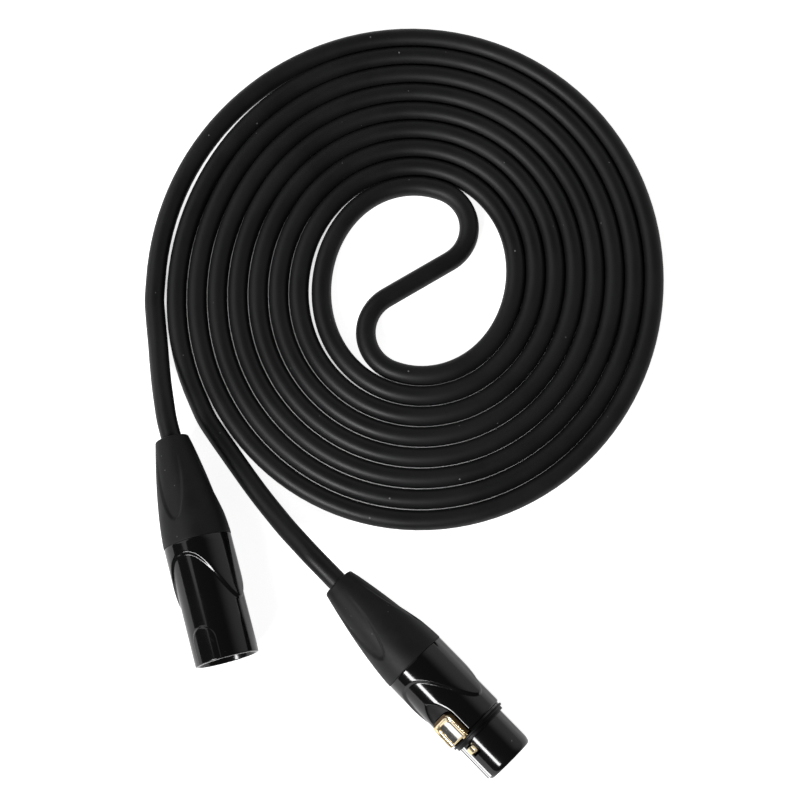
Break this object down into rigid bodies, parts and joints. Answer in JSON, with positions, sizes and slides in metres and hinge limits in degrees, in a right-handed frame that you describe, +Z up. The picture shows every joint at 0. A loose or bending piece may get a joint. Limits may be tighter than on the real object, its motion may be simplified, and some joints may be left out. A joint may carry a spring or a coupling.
{
  "type": "xlr cable coil",
  "caption": "Coiled microphone cable lying flat, with a male and a female XLR plug that have rubber boots and a gold push latch.",
  "frame": {"origin": "underside of the middle of the coil, where the cable turns from winding in to winding out, on the surface the object lies on", "axes": "+Z up, away from the surface; +X to the right and +Y away, as seen by someone who looks down with both plugs towards them"},
  "size_m": [0.162, 0.2372, 0.0205],
  "materials": {
    "shell_black": "gloss black plating",
    "insert_black": "gloss black moulding",
    "insert_grey": "satin black moulding",
    "pin_metal": "gold plated",
    "spring_metal": "plain spring steel",
    "clamp_plastic": "dull grey moulding",
    "boot_rubber": "matte black",
    "ring_rubber": "matte black",
    "latch_gold": "satin pale gold",
    "cable_jacket": "soft matte black",
    "core_hot": "plain red insulation",
    "core_cold": "plain white insulation",
    "shield_wire": "bare twisted copper"
  },
  "bodies": {
    "lead": {"male_shell": "shell_black", "male_insert": "insert_grey", "male_pin_1": "pin_metal", "male_pin_2": "pin_metal", "male_pin_3": "pin_metal", "male_ground_contact": "spring_metal", "male_chuck": "clamp_plastic", "male_gland_nut": "clamp_plastic", "male_boot": "boot_rubber", "male_cable_end": "cable_jacket", "male_core_hot": "core_hot", "male_core_cold": "core_cold", "male_shield_tail": "shield_wire", "female_shell": "shell_black", "female_insert": "insert_black", "female_socket_1": "pin_metal", "female_socket_2": "pin_metal", "female_socket_3": "pin_metal", "female_ground_contact": "spring_metal", "female_ring": "ring_rubber", "female_latch_pin": "spring_metal", "female_latch_spring": "spring_metal", "female_chuck": "clamp_plastic", "female_gland_nut": "clamp_plastic", "female_boot": "boot_rubber", "female_cable_end": "cable_jacket", "female_core_hot": "core_hot", "female_core_cold": "core_cold", "female_shield_tail": "shield_wire", "cable_coil": "cable_jacket", "cable_tail_male": "cable_jacket", "cable_tail_female": "cable_jacket"},
    "latch": {"female_latch": "latch_gold"}
  },
  "joints": [
    {"name": "latch_press", "type": "hinge", "parent": "lead", "child": "latch", "pos_m": [0.00785, -0.13375, 0.014], "axis": [0.4963, 0.486, 0.7193], "range_deg": [0, 6], "stiffness_Nm_per_rad": 0.05, "springref_deg": -5.73, "deforming": ["female_latch_spring"]}
  ]
}
